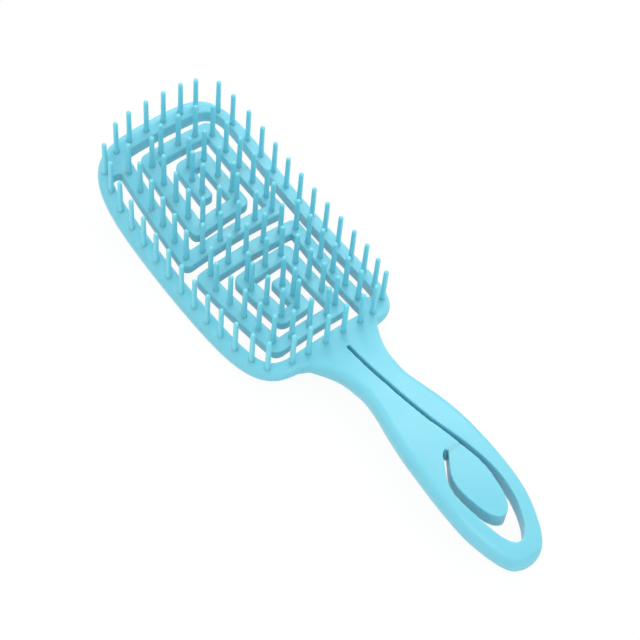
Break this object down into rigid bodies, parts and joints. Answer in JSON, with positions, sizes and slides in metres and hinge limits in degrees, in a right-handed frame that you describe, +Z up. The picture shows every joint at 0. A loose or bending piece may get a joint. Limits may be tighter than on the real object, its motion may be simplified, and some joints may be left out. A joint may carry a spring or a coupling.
{
  "type": "vent brush",
  "caption": "Vent hairbrush with a rounded rectangular head of two flat spiral springs, domed pins and a slit handle that ends in a hanging hole.",
  "frame": {"origin": "centre of the bounding box in plan, on the surface that the brush lies on", "axes": "+X along the brush from the head to the handle's end, +Y to its right seen along +X from the pin side with the pins up, +Z up through the pins; the brush lies on its back on the two side rails of the head and on the handle's end"},
  "size_m": [0.2406, 0.0704, 0.0449],
  "materials": {
    "sky_blue_polypropylene": "satin, as moulded"
  },
  "bodies": {
    "frame": {"rim_left_rail": "sky_blue_polypropylene", "rim_right_rail": "sky_blue_polypropylene", "rim_far_bow": "sky_blue_polypropylene", "rim_near_bow": "sky_blue_polypropylene", "handle_grip": "sky_blue_polypropylene"},
    "leaf": {"handle_leaf": "sky_blue_polypropylene"},
    "far_left_strip": {"far_spring_left": "sky_blue_polypropylene"},
    "far_near_strip": {"far_spring_near": "sky_blue_polypropylene"},
    "far_right_strip": {"far_spring_right": "sky_blue_polypropylene"},
    "far_far_strip": {"far_spring_far": "sky_blue_polypropylene"},
    "far_inner_left_strip": {"far_spring_inner_left": "sky_blue_polypropylene"},
    "far_inner_near_strip": {"far_spring_inner_near": "sky_blue_polypropylene"},
    "far_inner_right_strip": {"far_spring_inner_right": "sky_blue_polypropylene"},
    "far_core_strip": {"far_spring_core": "sky_blue_polypropylene"},
    "near_left_strip": {"near_spring_left": "sky_blue_polypropylene"},
    "near_near_strip": {"near_spring_near": "sky_blue_polypropylene"},
    "near_right_strip": {"near_spring_right": "sky_blue_polypropylene"},
    "near_far_strip": {"near_spring_far": "sky_blue_polypropylene"},
    "near_inner_left_strip": {"near_spring_inner_left": "sky_blue_polypropylene"},
    "near_inner_near_strip": {"near_spring_inner_near": "sky_blue_polypropylene"},
    "near_inner_right_strip": {"near_spring_inner_right": "sky_blue_polypropylene"},
    "near_core_strip": {"near_spring_core": "sky_blue_polypropylene"}
  },
  "joints": [
    {"name": "far_spring_press", "type": "hinge", "parent": "frame", "child": "far_left_strip", "pos_m": [-0.10839, -0.01974, 0.01883], "axis": [0.0653, 0.9867, 0.1486], "range_deg": [-0.8, 1.2], "stiffness_Nm_per_rad": 1.4},
    {"name": "far_near_flex", "type": "hinge", "parent": "far_left_strip", "child": "far_near_strip", "pos_m": [-0.06248, -0.01811, 0.00813], "axis": [-0.9921, -0.0059, 0.1252], "range_deg": [-0.8, 1.2], "stiffness_Nm_per_rad": 1.4},
    {"name": "far_right_flex", "type": "hinge", "parent": "far_near_strip", "child": "far_right_strip", "pos_m": [-0.06672, 0.02129, 0.00817], "axis": [0.0788, -0.9825, 0.169], "range_deg": [-1.6, 2.4], "stiffness_Nm_per_rad": 1.4},
    {"name": "far_far_flex", "type": "hinge", "parent": "far_right_strip", "child": "far_far_strip", "pos_m": [-0.10595, 0.0148, 0.01873], "axis": [0.9462, 0.0064, -0.3235], "range_deg": [-1.6, 2.4], "stiffness_Nm_per_rad": 1.4},
    {"name": "far_inner_left_flex", "type": "hinge", "parent": "far_far_strip", "child": "far_inner_left_strip", "pos_m": [-0.10185, -0.01077, 0.01783], "axis": [0.0258, 0.996, 0.0859], "range_deg": [-1.6, 2.4], "stiffness_Nm_per_rad": 1.4},
    {"name": "far_inner_near_flex", "type": "hinge", "parent": "far_inner_left_strip", "child": "far_inner_near_strip", "pos_m": [-0.07145, -0.00731, 0.01065], "axis": [-0.9844, -0.0645, 0.164], "range_deg": [-1.6, 2.4], "stiffness_Nm_per_rad": 1.4},
    {"name": "far_inner_right_flex", "type": "hinge", "parent": "far_inner_near_strip", "child": "far_inner_right_strip", "pos_m": [-0.07656, 0.01035, 0.01136], "axis": [0.0685, -0.9948, 0.0759], "range_deg": [-1.6, 2.4], "stiffness_Nm_per_rad": 1.4},
    {"name": "far_core_flex", "type": "hinge", "parent": "far_inner_right_strip", "child": "far_core_strip", "pos_m": [-0.09635, 0.00512, 0.01654], "axis": [0.9587, 0.0333, -0.2824], "range_deg": [-1.6, 2.4], "stiffness_Nm_per_rad": 1.4},
    {"name": "near_spring_press", "type": "hinge", "parent": "frame", "child": "near_left_strip", "pos_m": [-0.00493, 0.01974, 0.00823], "axis": [-0.0338, -0.9867, 0.1587], "range_deg": [-0.8, 1.2], "stiffness_Nm_per_rad": 1.4},
    {"name": "near_near_flex", "type": "hinge", "parent": "near_left_strip", "child": "near_near_strip", "pos_m": [-0.05205, 0.01811, 0.00707], "axis": [0.9969, 0.0059, -0.0785], "range_deg": [-0.8, 1.2], "stiffness_Nm_per_rad": 1.4},
    {"name": "near_right_flex", "type": "hinge", "parent": "near_near_strip", "child": "near_right_strip", "pos_m": [-0.04789, -0.02129, 0.00624], "axis": [-0.0429, 0.9825, 0.1814], "range_deg": [-1.6, 2.4], "stiffness_Nm_per_rad": 1.4},
    {"name": "near_far_flex", "type": "hinge", "parent": "near_right_strip", "child": "near_far_strip", "pos_m": [-0.00734, -0.0148, 0.00863], "axis": [-0.9921, -0.0064, -0.125], "range_deg": [-1.6, 2.4], "stiffness_Nm_per_rad": 1.4},
    {"name": "near_inner_left_flex", "type": "hinge", "parent": "near_far_strip", "child": "near_inner_left_strip", "pos_m": [-0.01153, 0.01077, 0.00858], "axis": [-0.0078, -0.996, 0.0894], "range_deg": [-1.6, 2.4], "stiffness_Nm_per_rad": 1.4},
    {"name": "near_inner_near_flex", "type": "hinge", "parent": "near_inner_left_strip", "child": "near_inner_near_strip", "pos_m": [-0.04275, 0.00731, 0.00771], "axis": [0.9972, 0.0644, -0.039], "range_deg": [-1.6, 2.4], "stiffness_Nm_per_rad": 1.4},
    {"name": "near_inner_right_flex", "type": "hinge", "parent": "near_inner_near_strip", "child": "near_inner_right_strip", "pos_m": [-0.03761, -0.01035, 0.00737], "axis": [-0.0517, 0.9948, 0.0882], "range_deg": [-1.6, 2.4], "stiffness_Nm_per_rad": 1.4},
    {"name": "near_core_flex", "type": "hinge", "parent": "near_inner_right_strip", "child": "near_core_strip", "pos_m": [-0.01718, -0.00512, 0.00843], "axis": [-0.9961, -0.0333, -0.0822], "range_deg": [-1.6, 2.4], "stiffness_Nm_per_rad": 1.4},
    {"name": "leaf_flex", "type": "hinge", "parent": "frame", "child": "leaf", "pos_m": [0.07272, 0.00173, 0.01653], "axis": [-0.0015, 0.9999, -0.0147], "range_deg": [-0.8, 0.8], "stiffness_Nm_per_rad": 40}
  ],
  "couplings": [
    {"joint": "far_near_flex", "follows": "far_spring_press", "ratio": 1},
    {"joint": "far_right_flex", "follows": "far_spring_press", "ratio": 2},
    {"joint": "far_far_flex", "follows": "far_spring_press", "ratio": 2},
    {"joint": "far_inner_left_flex", "follows": "far_spring_press", "ratio": 2},
    {"joint": "far_inner_near_flex", "follows": "far_spring_press", "ratio": 2},
    {"joint": "far_inner_right_flex", "follows": "far_spring_press", "ratio": 2},
    {"joint": "far_core_flex", "follows": "far_spring_press", "ratio": 2},
    {"joint": "near_near_flex", "follows": "near_spring_press", "ratio": 1},
    {"joint": "near_right_flex", "follows": "near_spring_press", "ratio": 2},
    {"joint": "near_far_flex", "follows": "near_spring_press", "ratio": 2},
    {"joint": "near_inner_left_flex", "follows": "near_spring_press", "ratio": 2},
    {"joint": "near_inner_near_flex", "follows": "near_spring_press", "ratio": 2},
    {"joint": "near_inner_right_flex", "follows": "near_spring_press", "ratio": 2},
    {"joint": "near_core_flex", "follows": "near_spring_press", "ratio": 2}
  ]
}
